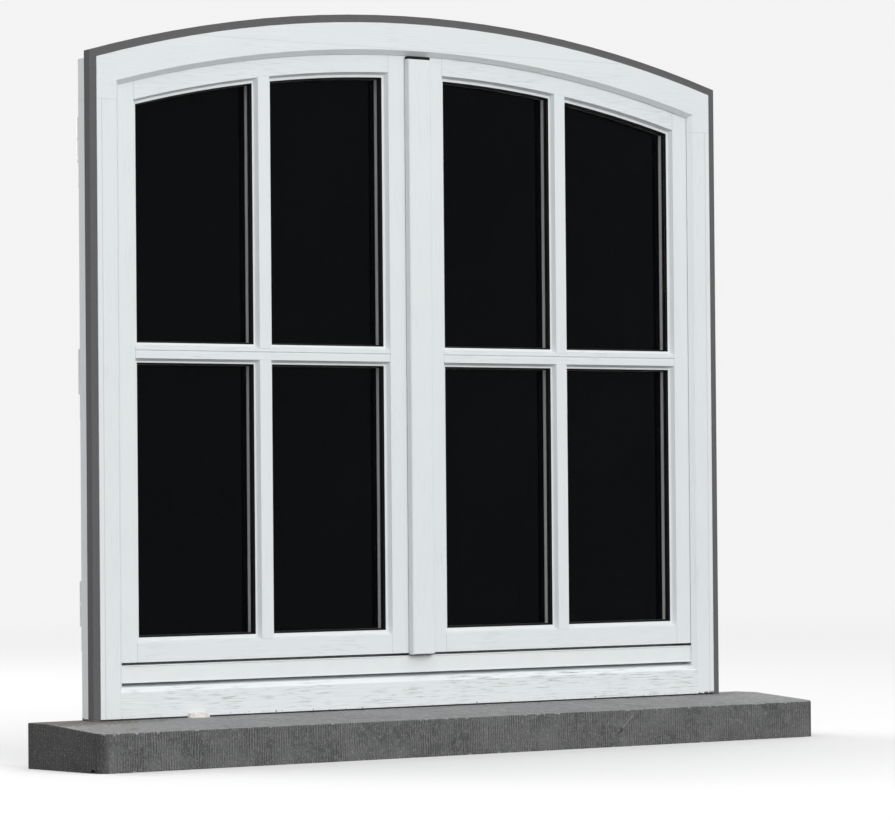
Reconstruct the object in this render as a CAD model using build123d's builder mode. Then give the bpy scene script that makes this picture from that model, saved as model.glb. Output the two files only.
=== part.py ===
"""Arched double casement window: a painted timber frame with two inward-opening leaves on a stone sill.

X runs along the wall, Y runs from the street into the room and Z points up, in millimetres. The origin is
the middle of the sill's underside, in the plane of the frame's outside face.
"""

import os
from collections import namedtuple
from math import sqrt

from build123d import *

# Stone sill
sill_overhang = 99.5
sill_projection = 148.0
sill_back_height = 70.5
sill_fall = 10.5
sill_corner_radius = 21.0
sill_arris = 2.0
drip_radius = 6.0
drip_inset = 22.0

# Frame, seen from the street
frame_half_width = 628.0
frame_depth = 52.0
crown_height = 1110.0
head_radius = 2360.0
jamb_face = 36.5
head_face = 43.5
rail_face = 42.5
frame_bevel = 7.5
lip_edge = 0.5
rebate_width = 16.0
rail_height = 76.1
rail_weathering = 6.0
bed_joint_height = 2.2
bed_joint_depth = 5.0
upstand_depth = 22.0
head_joint_drop = 150.0

# Holes for the wall fixings, drilled from the rebate
fixing_radius = 4.0
fixing_head_radius = 7.0
fixing_head_depth = 6.0
fixing_inset = 22.0
fixing_spacing = 700.0
lowest_fixing = 150.0
fixing_count = 2

# Foam tape in the joint round the frame
tape_width = 12.5
tape_front = 1.5
tape_depth = 15.0

# Rain bar and its end caps
bar_front = 9.0
bar_bottom_gap = 6.6
bar_height = 27.5
bar_wall = 1.6
bar_nose = 0.8
bar_nose_height = 1.8
bar_hook = 5.2
bar_rear_inset = 6.0
cap_thickness = 2.0
cap_fit = 0.3

# Leaves
lip_gap = 1.0
leaf_clearance = 12.0
meeting_gap = 12.0
overlap_gap = 1.0
overlap_thickness = 14.0
overlap_width = 22.0
hinge_stile_face = 34.5
meeting_stile_face = 49.0
top_rail_face = 32.5
bottom_rail_face = 30.3
moulding_run = 3.8
moulding_depth = 7.8
moulding_lip = 4.2

# Glazing bars
bar_face = 22.0
cross_bar_face = 18.0
cross_bar_height = 569.3
bar_run = 3.8
bar_depth = 7.8
bar_lip = 2.8
groove_width = 2.0
groove_depth = 1.7
groove_offset = 3.3

# Sealed glass units
glass_seat = 12.0
pane_thickness = 4.0
pane_gap = 10.0
glass_bite = 9.0
glass_clearance = 1.5
spacer_cover = 3.0
spacer_width = 7.0
setting_block_length = 60.0
bead_fit = 0.1
bead_mitre_gap = 0.2
bead_setback = 2.0
bead_slope_depth = 6.0
bead_slope_run = 5.0

# Seal in the overlap
seal_width = 4.0
seal_inset = 3.0
groove_seat = 2.0
seal_fit = 0.3

# Cover strips
outside_strip_width = 45.0
outside_strip_projection = 12.5
outside_strip_top_gap = 6.0
outside_strip_bottom_gap = 2.6
inside_strip_width = 44.0
inside_strip_thickness = 12.0
inside_strip_top_gap = 2.0
strip_relief = 0.5
strip_arris = 1.5

# Hinges
knuckle_radius = 7.0
knuckle_height = 35.0
knuckle_gap = 0.5
pin_radius = 4.0
pin_fit = 0.05
pin_length = 33.0
hinge_plate = 2.5
hinge_plate_height = 74.0
hinge_plate_inset = 1.0
hinge_offset = 8.0
hinge_heights = [180.0, 540.0, 900.0]

# Bolts and handle
rod_width = 12.0
rod_depth = 8.0
rod_round = 3.0
rod_fit = 0.3
rod_travel = 18.0
rod_end_gap = 2.0
rod_start = 16.0
case_height = 555.0
case_half_height = 66.0
case_width = 34.0
case_depth = 14.0
case_wall = 3.0
case_arris = 2.0
keep_spare = 3.0
keep_wall = 3.4
keep_plate = 3.0
keep_ear = 10.0
top_keep_gap = 3.0
bottom_keep_gap = 4.1
guide_height = 14.0
guide_ear = 8.0
guide_plate = 2.0
guide_end_gap = 62.0
guide_count = 3
spindle_radius = 5.0
spindle_fit = 0.05
boss_radius = 13.0
boss_height = 7.0
neck_radius = 8.0
neck_height = 20.0
lever_length = 112.0
lever_width = 18.0
lever_thickness = 9.0
lever_arris = 2.5

# Sizes that follow from the ones above
frame_bottom = sill_back_height
arch_centre_z = frame_bottom + crown_height - head_radius
lip_depth = frame_bevel + lip_edge
leaf_front_y = lip_depth + lip_gap
overlap_front_y = frame_depth + overlap_gap
leaf_back_y = overlap_front_y + overlap_thickness
glass_front_y = leaf_front_y + glass_seat
glass_back_y = glass_front_y + pane_thickness + pane_gap + pane_thickness
strip_back_y = leaf_back_y + inside_strip_thickness
keep_height = rod_travel - rod_end_gap + keep_spare

# An outline is a rectangle whose top is flat, or an arc about the arch's centre with top as its radius
Outline = namedtuple("Outline", "left right bottom top arched")


def grown(outline, amount):
    """The outline moved outwards by amount on all four sides."""
    return Outline(
        outline.left - amount,
        outline.right + amount,
        outline.bottom - amount,
        outline.top + amount,
        outline.arched,
    )


def top_z(outline, x):
    """Height of the outline's top edge at x."""
    if outline.arched:
        return arch_centre_z + sqrt(outline.top**2 - x**2)
    return outline.top


def corners(outline):
    """The outline's four corners as (x, z), from the top left one round by the bottom."""
    return [
        (outline.left, top_z(outline, outline.left)),
        (outline.left, outline.bottom),
        (outline.right, outline.bottom),
        (outline.right, top_z(outline, outline.right)),
    ]


def wall_plane(depth):
    """Plane parallel to the wall at Y = depth, with its sketch x along X and its sketch y along Z."""
    return Plane.XZ.offset(-depth)


def panel_face(outline, depth):
    """Filled outline, drawn at Y = depth."""
    points = corners(outline)
    middle = (outline.left + outline.right) / 2
    with BuildSketch(wall_plane(depth)) as face:
        with BuildLine():
            Polyline(*points)
            if outline.arched:
                ThreePointArc(points[-1], (middle, top_z(outline, middle)), points[0])
            else:
                Line(points[-1], points[0])
        make_face()
    return face.sketch


def panel_block(outline, depth_from, depth_to):
    """Outline extruded from one depth to another."""
    with BuildPart() as block:
        extrude(panel_face(outline, depth_from), amount=depth_from - depth_to)
    return block.part


def panel_bevel(outline_from, depth_from, outline_to, depth_to):
    """Straight-sided taper between two outlines."""
    with BuildPart() as taper:
        loft([panel_face(outline_from, depth_from), panel_face(outline_to, depth_to)], ruled=True)
    return taper.part


def wall_prism(points, depth_from, depth_to):
    """Polygon of (x, z) points extruded from one depth to another."""
    with BuildPart() as prism:
        with BuildSketch(wall_plane(depth_from)):
            with BuildLine():
                Polyline(*points, close=True)
            make_face()
        extrude(amount=depth_from - depth_to)
    return prism.part


def box_between(x_from, x_to, y_from, y_to, z_from, z_to):
    """Box given by its limits on each axis."""
    with BuildPart() as box:
        with BuildSketch(Plane.XY.offset(z_from)):
            with Locations((x_from, y_from)):
                Rectangle(x_to - x_from, y_to - y_from, align=(Align.MIN, Align.MIN))
        extrude(amount=z_to - z_from)
    return box.part


# Frame outlines
frame_outline = Outline(-frame_half_width, frame_half_width, frame_bottom, head_radius, True)
front_opening = Outline(
    -frame_half_width + jamb_face,
    frame_half_width - jamb_face,
    frame_bottom + rail_face,
    head_radius - head_face,
    True,
)
lip_opening = grown(front_opening, -frame_bevel)
rebate_bottom = frame_bottom + rail_height
rebate_opening = grown(lip_opening, rebate_width)._replace(bottom=rebate_bottom)
upstand_y = lip_depth + upstand_depth
weathering_top = lip_opening.bottom + rail_weathering
head_joint_z = frame_bottom + crown_height - head_joint_drop

# Stone sill with a weathered top, rounded front corners and a drip groove
with BuildPart() as stone_sill:
    with BuildSketch(Plane.YZ) as sill_profile:
        with BuildLine():
            Polyline(
                (frame_depth, 0),
                (frame_depth, sill_back_height),
                (0, sill_back_height),
                (-sill_projection, sill_back_height - sill_fall),
                (-sill_projection, 0),
                close=True,
            )
        make_face()
        with Locations((drip_inset - sill_projection, 0)):
            Circle(drip_radius, mode=Mode.SUBTRACT)
    extrude(amount=frame_half_width + sill_overhang, both=True)
    front_corners = stone_sill.edges().filter_by(Axis.Z).group_by(Axis.Y)[0]
    fillet(front_corners, radius=sill_corner_radius)
    front_top_edges = stone_sill.edges().filter_by(Axis.X).group_by(Axis.Y)[0].sort_by(Axis.Z)[-1]
    fillet(front_top_edges, radius=sill_arris)

# Blank of the whole frame, with its bevel, lip, rebate and the open bed joint on the sill
with BuildPart() as frame_blank:
    add(panel_block(frame_outline, 0, frame_depth))
    add(panel_bevel(front_opening, 0, lip_opening, frame_bevel), mode=Mode.SUBTRACT)
    weathering_cut = [
        (frame_bevel, lip_opening.bottom),
        (upstand_y, weathering_top),
        (upstand_y, rebate_bottom),
        (frame_bevel, rebate_bottom),
    ]
    with BuildSketch(Plane.YZ):
        with BuildLine():
            Polyline(*weathering_cut, close=True)
        make_face()
    extrude(amount=lip_opening.right, both=True, mode=Mode.SUBTRACT)
    upper_opening = lip_opening._replace(bottom=rebate_bottom)
    add(panel_block(upper_opening, 0, lip_depth), mode=Mode.SUBTRACT)
    add(panel_block(rebate_opening, lip_depth, frame_depth), mode=Mode.SUBTRACT)
    bed_joint_top = frame_bottom + bed_joint_height
    bed_joint = box_between(
        -frame_half_width,
        frame_half_width,
        0,
        bed_joint_depth,
        frame_bottom,
        bed_joint_top,
    )
    add(bed_joint, mode=Mode.SUBTRACT)

# The bottom rail stands between the jambs and meets their bevels in a mitre
rail_region = wall_prism(
    [
        (front_opening.left, frame_bottom),
        (front_opening.right, frame_bottom),
        (front_opening.right, front_opening.bottom),
        (lip_opening.right, lip_opening.bottom),
        (lip_opening.right, rebate_bottom),
        (lip_opening.left, rebate_bottom),
        (lip_opening.left, lip_opening.bottom),
        (front_opening.left, front_opening.bottom),
    ],
    0,
    frame_depth,
)

with BuildPart() as frame_bottom_rail:
    add(frame_blank.part)
    add(rail_region, mode=Mode.INTERSECT)

fixing_heights = [frame_bottom + lowest_fixing + fixing_spacing * step for step in range(fixing_count)]
fixing_y = lip_depth + fixing_inset
left_rebate_plane = Plane(origin=(rebate_opening.left, fixing_y, 0), x_dir=(0, 1, 0), z_dir=(1, 0, 0))

with BuildPart() as frame_left_jamb:
    add(frame_blank.part)
    jamb_region = box_between(-frame_half_width, 0, 0, frame_depth, frame_bottom, head_joint_z)
    add(jamb_region, mode=Mode.INTERSECT)
    add(rail_region, mode=Mode.SUBTRACT)
    with Locations(left_rebate_plane):
        with Locations(*[(0, height) for height in fixing_heights]):
            CounterBoreHole(
                radius=fixing_radius,
                counter_bore_radius=fixing_head_radius,
                counter_bore_depth=fixing_head_depth,
                depth=jamb_face + frame_bevel,
            )

with BuildPart() as frame_right_jamb:
    mirror(frame_left_jamb.part, about=Plane.YZ)

with BuildPart() as frame_head:
    add(frame_blank.part)
    crown_z = frame_bottom + crown_height
    head_region = box_between(-frame_half_width, frame_half_width, 0, frame_depth, head_joint_z, crown_z)
    add(head_region, mode=Mode.INTERSECT)

# Foam tape round the outside of jambs and head
with BuildPart() as joint_tape:
    tape_outline = grown(frame_outline, tape_width)._replace(bottom=frame_bottom)
    add(panel_block(tape_outline, tape_front, tape_front + tape_depth))
    add(panel_block(frame_outline, tape_front, tape_front + tape_depth), mode=Mode.SUBTRACT)

# Rain bar: an open metal section with a drip nose, a hooked top and a flange on the rail's upstand
bar_bottom = lip_opening.bottom + bar_bottom_gap
bar_top = bar_bottom + bar_height
bar_rear = frame_depth - bar_rear_inset
bar_half_length = lip_opening.right - cap_fit - cap_thickness

with BuildPart() as rain_bar:
    with BuildSketch(Plane.YZ) as bar_section:
        with Locations((bar_front, bar_bottom)):
            Rectangle(bar_wall, bar_height, align=(Align.MIN, Align.MIN))
        with Locations((bar_front - bar_nose, bar_bottom)):
            Rectangle(bar_nose + bar_wall, bar_nose_height, align=(Align.MIN, Align.MIN))
        with Locations((bar_front - bar_nose, bar_top)):
            Rectangle(bar_nose + bar_wall + bar_hook, bar_nose_height, align=(Align.MIN, Align.MAX))
        with Locations((bar_front, rebate_bottom)):
            Rectangle(bar_rear - bar_front, bar_wall, align=(Align.MIN, Align.MIN))
        with Locations((bar_rear, rebate_bottom)):
            Rectangle(bar_wall, bar_top - rebate_bottom, align=(Align.MAX, Align.MIN))
    extrude(amount=bar_half_length, both=True)

with BuildPart() as rain_bar_end_caps:
    cap_profile = [
        (bar_front - bar_nose, bar_bottom),
        (upstand_y - cap_fit, bar_bottom),
        (upstand_y - cap_fit, rebate_bottom),
        (bar_rear, rebate_bottom),
        (bar_rear, bar_top),
        (bar_front - bar_nose, bar_top),
    ]
    for end_plane in (Plane.YZ.offset(bar_half_length), Plane.YZ.offset(-bar_half_length - cap_thickness)):
        with BuildSketch(end_plane):
            with BuildLine():
                Polyline(*cap_profile, close=True)
            make_face()
        extrude(amount=cap_thickness)

# Outlines of the left leaf, from its outer edge inwards
leaf_outline = Outline(
    rebate_opening.left + leaf_clearance,
    -meeting_gap / 2,
    rebate_opening.bottom + leaf_clearance,
    rebate_opening.top - leaf_clearance,
    True,
)
overlap_outline = grown(leaf_outline, overlap_width)._replace(right=leaf_outline.right)
face_opening = Outline(
    leaf_outline.left + hinge_stile_face,
    leaf_outline.right - meeting_stile_face,
    leaf_outline.bottom + bottom_rail_face,
    leaf_outline.top - top_rail_face,
    True,
)
slope_foot = grown(face_opening, -moulding_run)
sight_opening = grown(slope_foot, -moulding_lip)
glass_room = glass_bite + glass_clearance
glass_rebate = grown(sight_opening, glass_room)
moulding_foot_y = leaf_front_y + moulding_depth
seal_outer = grown(overlap_outline, -seal_inset)._replace(right=leaf_outline.right)
seal_inner = grown(seal_outer, -seal_width)._replace(right=leaf_outline.right)

# Blank of a whole leaf: rebated edge, moulded opening, glazing rebate and seal groove
with BuildPart() as leaf_ring:
    add(panel_block(leaf_outline, leaf_front_y, overlap_front_y))
    add(panel_block(overlap_outline, overlap_front_y, leaf_back_y))
    add(panel_bevel(face_opening, leaf_front_y, slope_foot, moulding_foot_y), mode=Mode.SUBTRACT)
    add(panel_block(sight_opening, leaf_front_y, glass_front_y), mode=Mode.SUBTRACT)
    add(panel_block(glass_rebate, glass_front_y, leaf_back_y), mode=Mode.SUBTRACT)
    with BuildPart(mode=Mode.PRIVATE) as seal_groove:
        add(panel_block(seal_outer, overlap_front_y, overlap_front_y + groove_seat))
        add(panel_block(seal_inner, overlap_front_y, overlap_front_y + groove_seat), mode=Mode.SUBTRACT)
    add(seal_groove.part, mode=Mode.SUBTRACT)

# The rails stand between the stiles and meet their mouldings in a mitre
leaf_top = arch_centre_z + overlap_outline.top
bottom_rail_region = wall_prism(
    [
        (face_opening.left, overlap_outline.bottom),
        (face_opening.left, face_opening.bottom),
        (sight_opening.left, sight_opening.bottom),
        (sight_opening.right, sight_opening.bottom),
        (face_opening.right, face_opening.bottom),
        (face_opening.right, overlap_outline.bottom),
    ],
    leaf_front_y,
    leaf_back_y,
)
top_rail_region = wall_prism(
    [
        (face_opening.left, leaf_top),
        (face_opening.left, top_z(face_opening, face_opening.left)),
        (sight_opening.left, top_z(sight_opening, sight_opening.left)),
        (sight_opening.right, top_z(sight_opening, sight_opening.right)),
        (face_opening.right, top_z(face_opening, face_opening.right)),
        (face_opening.right, leaf_top),
    ],
    leaf_front_y,
    leaf_back_y,
)
leaf_centre_x = (sight_opening.left + sight_opening.right) / 2

with BuildPart() as left_bottom_rail:
    add(leaf_ring.part)
    add(bottom_rail_region, mode=Mode.INTERSECT)

with BuildPart() as left_top_rail:
    add(leaf_ring.part)
    add(top_rail_region, mode=Mode.INTERSECT)


def stile(x_from, x_to):
    """Full-height stile: what the two rails leave of the leaf's blank between two X values."""
    stile_region = box_between(x_from, x_to, leaf_front_y, leaf_back_y, overlap_outline.bottom, leaf_top)
    with BuildPart() as upright:
        add(leaf_ring.part)
        add(stile_region, mode=Mode.INTERSECT)
        add(bottom_rail_region, mode=Mode.SUBTRACT)
        add(top_rail_region, mode=Mode.SUBTRACT)
    return upright.part


with BuildPart() as left_hinge_stile:
    add(stile(overlap_outline.left, leaf_centre_x))

with BuildPart() as left_meeting_stile:
    add(stile(leaf_centre_x, leaf_outline.right))

# Glazing bars: moulded outside, with a web between the glass units, coped onto the stiles and rails
bar_half = bar_face / 2 + bar_run + bar_lip
cross_bar_half = cross_bar_face / 2 + bar_run + bar_lip
cross_bar_z = frame_bottom + cross_bar_height
bar_back_y = leaf_back_y - bead_setback
bar_zone = panel_block(glass_rebate, leaf_front_y, bar_back_y)


def bar_half_profile(half_face, half_width):
    """Points (across, depth) down one side of a glazing bar, from its face to the back of its web."""
    return [
        (half_face, leaf_front_y),
        (half_face + bar_run, leaf_front_y + bar_depth),
        (half_width, leaf_front_y + bar_depth),
        (half_width, glass_front_y),
        (half_width - glass_room, glass_front_y),
        (half_width - glass_room, bar_back_y),
    ]


cross_bar_profile = bar_half_profile(cross_bar_face / 2, cross_bar_half)
bar_profile = bar_half_profile(bar_face / 2, bar_half)

with BuildPart() as left_horizontal_bar:
    upper_side = [(depth, cross_bar_z + across) for across, depth in cross_bar_profile]
    lower_side = [(depth, cross_bar_z - across) for across, depth in cross_bar_profile]
    with BuildSketch(Plane.YZ.offset(glass_rebate.left)):
        with BuildLine():
            Polyline(*upper_side, *reversed(lower_side), close=True)
        make_face()
        with BuildLine():
            Polyline(
                (leaf_front_y, cross_bar_z + groove_offset - groove_width / 2),
                (leaf_front_y + groove_depth, cross_bar_z + groove_offset),
                (leaf_front_y, cross_bar_z + groove_offset + groove_width / 2),
                close=True,
            )
        make_face(mode=Mode.SUBTRACT)
    extrude(amount=glass_rebate.right - glass_rebate.left)
    add(leaf_ring.part, mode=Mode.SUBTRACT)

with BuildPart() as left_vertical_bar:
    right_side = [(leaf_centre_x + across, depth) for across, depth in bar_profile]
    left_side = [(leaf_centre_x - across, depth) for across, depth in bar_profile]
    with BuildSketch(Plane.XY.offset(glass_rebate.bottom)):
        with BuildLine():
            Polyline(*right_side, *reversed(left_side), close=True)
        make_face()
    extrude(amount=leaf_top - glass_rebate.bottom)
    add(bar_zone, mode=Mode.INTERSECT)
    add(leaf_ring.part, mode=Mode.SUBTRACT)
    cross_bar_blank = box_between(
        leaf_centre_x - bar_half,
        leaf_centre_x + bar_half,
        leaf_front_y,
        leaf_front_y + groove_depth,
        cross_bar_z - cross_bar_face / 2,
        cross_bar_z + cross_bar_face / 2,
    )
    add(cross_bar_blank, mode=Mode.SUBTRACT)
    add(left_horizontal_bar.part, mode=Mode.SUBTRACT)

# The four lights of the left leaf, by their sight lines
lower_top = cross_bar_z - cross_bar_half
upper_bottom = cross_bar_z + cross_bar_half
jamb_side = (sight_opening.left, leaf_centre_x - bar_half)
centre_side = (leaf_centre_x + bar_half, sight_opening.right)
lights = {
    "lower_jamb": Outline(*jamb_side, sight_opening.bottom, lower_top, False),
    "lower_centre": Outline(*centre_side, sight_opening.bottom, lower_top, False),
    "upper_jamb": Outline(*jamb_side, upper_bottom, sight_opening.top, True),
    "upper_centre": Outline(*centre_side, upper_bottom, sight_opening.top, True),
}

# Outside and inside panes of each light
outside_pane_back_y = glass_front_y + pane_thickness
inside_pane_y = glass_back_y - pane_thickness
left_panes = {}
for light_name, light in lights.items():
    glass_edge = grown(light, glass_bite)
    left_panes[f"{light_name}_outside"] = panel_block(glass_edge, glass_front_y, outside_pane_back_y)
    left_panes[f"{light_name}_inside"] = panel_block(glass_edge, inside_pane_y, glass_back_y)

# Spacer bars round the gap between the panes
with BuildPart() as left_spacers:
    for light in lights.values():
        spacer_inner = grown(light, -spacer_cover)
        spacer_outer = grown(spacer_inner, spacer_width)
        with BuildPart(mode=Mode.PRIVATE) as spacer:
            add(panel_block(spacer_outer, outside_pane_back_y, inside_pane_y))
            add(panel_block(spacer_inner, outside_pane_back_y, inside_pane_y), mode=Mode.SUBTRACT)
        add(spacer.part)

# Setting blocks that carry each glass unit
with BuildPart() as left_setting_blocks:
    for light in lights.values():
        quarter = (light.right - light.left) / 4
        for block_x in (light.left + quarter, light.right - quarter):
            block_bottom = light.bottom - glass_room
            add(
                box_between(
                    block_x - setting_block_length / 2,
                    block_x + setting_block_length / 2,
                    glass_front_y,
                    glass_back_y,
                    block_bottom,
                    block_bottom + glass_clearance,
                )
            )


def mitre_cut(outer_corner, inner_corner):
    """Thin slot along a mitre, from beyond the outer corner to beyond the inner one."""
    run_x = outer_corner[0] - inner_corner[0]
    run_z = outer_corner[1] - inner_corner[1]
    start_x = outer_corner[0] + run_x / 2
    start_z = outer_corner[1] + run_z / 2
    end_x = inner_corner[0] - run_x / 2
    end_z = inner_corner[1] - run_z / 2
    half_gap = bead_mitre_gap / 2
    slot = [
        (start_x - half_gap, start_z),
        (start_x + half_gap, start_z),
        (end_x + half_gap, end_z),
        (end_x - half_gap, end_z),
    ]
    return wall_prism(slot, glass_back_y, leaf_back_y)


# Glazing beads on the room side: four mitred lengths for each light, with a sloped inner edge
bead_slope_y = bar_back_y - bead_slope_depth
with BuildPart() as left_glazing_beads:
    for light in lights.values():
        bead_outer = grown(light, glass_room - bead_fit)
        bead_crest = grown(light, bead_slope_run)
        with BuildPart(mode=Mode.PRIVATE) as bead_ring:
            add(panel_block(bead_outer, glass_back_y, bar_back_y))
            add(panel_block(light, glass_back_y, bead_slope_y), mode=Mode.SUBTRACT)
            add(panel_bevel(light, bead_slope_y, bead_crest, bar_back_y), mode=Mode.SUBTRACT)
            for outer_corner, inner_corner in zip(corners(bead_outer), corners(light)):
                add(mitre_cut(outer_corner, inner_corner), mode=Mode.SUBTRACT)
        add(bead_ring.part)

# Seal in the overlap's groove, proud of it so that it nearly meets the frame
seal_front_y = frame_depth + seal_fit
with BuildPart() as left_seal:
    add(panel_block(seal_outer, seal_front_y, overlap_front_y + groove_seat))
    add(panel_block(seal_inner, seal_front_y, overlap_front_y + groove_seat), mode=Mode.SUBTRACT)

# Hinges: the frame's half carries the pin, the leaf's half turns on it
hinge_x = overlap_outline.left - hinge_offset
hinge_y = frame_depth + knuckle_radius + knuckle_gap
hinge_levels = [frame_bottom + height for height in hinge_heights]

with BuildPart() as left_frame_hinges:
    for level in hinge_levels:
        knuckle_top = level - knuckle_gap / 2
        with BuildSketch(Plane.XY.offset(knuckle_top - knuckle_height)):
            with Locations((hinge_x, hinge_y)):
                Circle(knuckle_radius)
        extrude(amount=knuckle_height)
        with BuildSketch(Plane.XY.offset(knuckle_top)):
            with Locations((hinge_x, hinge_y)):
                Circle(pin_radius)
        extrude(amount=pin_length)
        add(
            box_between(
                -frame_half_width + hinge_plate_inset,
                hinge_x + knuckle_radius - knuckle_gap,
                frame_depth,
                frame_depth + hinge_plate,
                knuckle_top - hinge_plate_height,
                knuckle_top,
            )
        )

with BuildPart() as left_leaf_hinges:
    for level in hinge_levels:
        knuckle_bottom = level + knuckle_gap / 2
        add(
            box_between(
                overlap_outline.left - hinge_plate,
                overlap_outline.left,
                overlap_front_y + knuckle_gap,
                leaf_back_y - knuckle_gap,
                knuckle_bottom,
                knuckle_bottom + hinge_plate_height,
            )
        )
        with BuildSketch(Plane.XY.offset(knuckle_bottom)):
            with Locations((hinge_x, hinge_y)):
                Circle(knuckle_radius)
        extrude(amount=knuckle_height)
        with BuildSketch(Plane.XY.offset(knuckle_bottom)):
            with Locations((hinge_x, hinge_y)):
                Circle(pin_radius + pin_fit)
        extrude(amount=knuckle_height, mode=Mode.SUBTRACT)

# The right leaf and its hinges mirror the left ones
left_nodes = {
    "hinge_stile": left_hinge_stile.part,
    "meeting_stile": left_meeting_stile.part,
    "top_rail": left_top_rail.part,
    "bottom_rail": left_bottom_rail.part,
    "horizontal_bar": left_horizontal_bar.part,
    "vertical_bar": left_vertical_bar.part,
    "spacers": left_spacers.part,
    "setting_blocks": left_setting_blocks.part,
    "glazing_beads": left_glazing_beads.part,
    "seal": left_seal.part,
    "frame_hinges": left_frame_hinges.part,
    "leaf_hinges": left_leaf_hinges.part,
}
for pane_name, pane in left_panes.items():
    left_nodes[f"{pane_name}_glass"] = pane

# Outside cover strip on the right leaf, over the joint of the two leaves
strip_bottom = leaf_outline.bottom - outside_strip_bottom_gap
outside_strip_top = arch_centre_z + lip_opening.top - outside_strip_top_gap
with BuildPart() as outside_cover_strip:
    strip_front_y = leaf_front_y - outside_strip_projection
    with BuildSketch(Plane.XY.offset(strip_bottom)):
        with BuildLine():
            Polyline(
                (-outside_strip_width / 2, strip_front_y),
                (outside_strip_width / 2, strip_front_y),
                (outside_strip_width / 2, leaf_front_y),
                (0, leaf_front_y),
                (0, leaf_front_y - strip_relief),
                (-outside_strip_width / 2, leaf_front_y - strip_relief),
                close=True,
            )
        make_face()
    extrude(amount=outside_strip_top - strip_bottom)
    front_arrises = outside_cover_strip.faces().sort_by(Axis.Y)[0].edges()
    chamfer(front_arrises, length=strip_arris)

# Inside cover strip on the left leaf
inside_strip_top = leaf_top - inside_strip_top_gap
with BuildPart() as inside_cover_strip:
    with BuildSketch(Plane.XY.offset(overlap_outline.bottom)):
        with BuildLine():
            Polyline(
                (-inside_strip_width / 2, strip_back_y),
                (inside_strip_width / 2, strip_back_y),
                (inside_strip_width / 2, leaf_back_y + strip_relief),
                (0, leaf_back_y + strip_relief),
                (0, leaf_back_y),
                (-inside_strip_width / 2, leaf_back_y),
                close=True,
            )
        make_face()
    extrude(amount=inside_strip_top - overlap_outline.bottom)
    back_arrises = inside_cover_strip.faces().sort_by(Axis.Y)[-1].edges()
    chamfer(back_arrises, length=strip_arris)

# Bolt work on the inside strip
rod_back_y = strip_back_y + rod_fit
rod_front_y = rod_back_y + rod_depth
channel_half = rod_width / 2 + rod_fit
channel_front_y = rod_front_y + rod_fit
case_z = frame_bottom + case_height
case_front_y = strip_back_y + case_depth
top_keep_bottom = leaf_top + top_keep_gap
bottom_keep_top = overlap_outline.bottom - bottom_keep_gap
upper_rod_end = top_keep_bottom - rod_end_gap
lower_rod_end = bottom_keep_top + rod_end_gap


def bolt_rod(z_from, z_to):
    """Bolt rod with rounded front edges between two heights."""
    with BuildPart() as rod:
        with BuildSketch(Plane.XY.offset(z_from)):
            with Locations((0, rod_back_y)):
                Rectangle(rod_width, rod_depth, align=(Align.CENTER, Align.MIN))
        extrude(amount=z_to - z_from)
        fillet(rod.edges().filter_by(Axis.Z).group_by(Axis.Y)[-1], radius=rod_round)
    return rod.part


def staple(z_from, z_to, foot_y, plate, ear):
    """Bracket round the rod's path: two cheeks and a front on an eared plate at Y = foot_y."""
    outer_half = channel_half + keep_wall
    with BuildPart() as bracket:
        add(box_between(-outer_half - ear, outer_half + ear, foot_y, foot_y + plate, z_from, z_to))
        add(box_between(-outer_half, outer_half, foot_y, channel_front_y + keep_wall, z_from, z_to))
        fillet(bracket.edges().filter_by(Axis.Z).group_by(Axis.Y)[-1], radius=rod_round)
        channel_back_y = max(foot_y + plate, strip_back_y) if foot_y < strip_back_y else foot_y
        channel = box_between(-channel_half, channel_half, channel_back_y, channel_front_y, z_from, z_to)
        add(channel, mode=Mode.SUBTRACT)
    return bracket.part


with BuildPart() as upper_bolt_rod:
    add(bolt_rod(case_z + rod_start, upper_rod_end))

with BuildPart() as lower_bolt_rod:
    add(bolt_rod(lower_rod_end, case_z - rod_start))

with BuildPart() as bolt_keeps:
    add(staple(top_keep_bottom, top_keep_bottom + keep_height, frame_depth, keep_plate, keep_ear))
    add(staple(bottom_keep_top - keep_height, bottom_keep_top, frame_depth, keep_plate, keep_ear))


def guide_levels(z_from, z_to):
    """Bottoms of the guides, evenly spaced between the case's end and the strip's end."""
    first = z_from + guide_end_gap
    last = z_to - guide_end_gap - guide_height
    return [first + (last - first) * step / (guide_count - 1) for step in range(guide_count)]


with BuildPart() as bolt_guides:
    upper_levels = guide_levels(case_z + case_half_height, inside_strip_top)
    lower_levels = guide_levels(overlap_outline.bottom, case_z - case_half_height)
    for guide_bottom in upper_levels + lower_levels:
        add(staple(guide_bottom, guide_bottom + guide_height, strip_back_y, guide_plate, guide_ear))

with BuildPart() as bolt_case:
    with BuildSketch(wall_plane(strip_back_y)):
        with Locations((0, case_z)):
            RectangleRounded(case_width, case_half_height * 2, case_width / 5)
    extrude(amount=-case_depth)
    chamfer(bolt_case.faces().sort_by(Axis.Y)[-1].edges(), length=case_arris)
    case_room = box_between(
        -case_width / 2 + case_wall,
        case_width / 2 - case_wall,
        strip_back_y,
        case_front_y - case_wall,
        case_z - case_half_height + case_wall,
        case_z + case_half_height - case_wall,
    )
    add(case_room, mode=Mode.SUBTRACT)
    case_channel = box_between(
        -channel_half,
        channel_half,
        strip_back_y,
        channel_front_y,
        case_z - case_half_height,
        case_z + case_half_height,
    )
    add(case_channel, mode=Mode.SUBTRACT)
    with BuildSketch(wall_plane(case_front_y - case_wall)):
        with Locations((0, case_z)):
            Circle(spindle_radius + spindle_fit)
    extrude(amount=-case_wall, mode=Mode.SUBTRACT)

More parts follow.
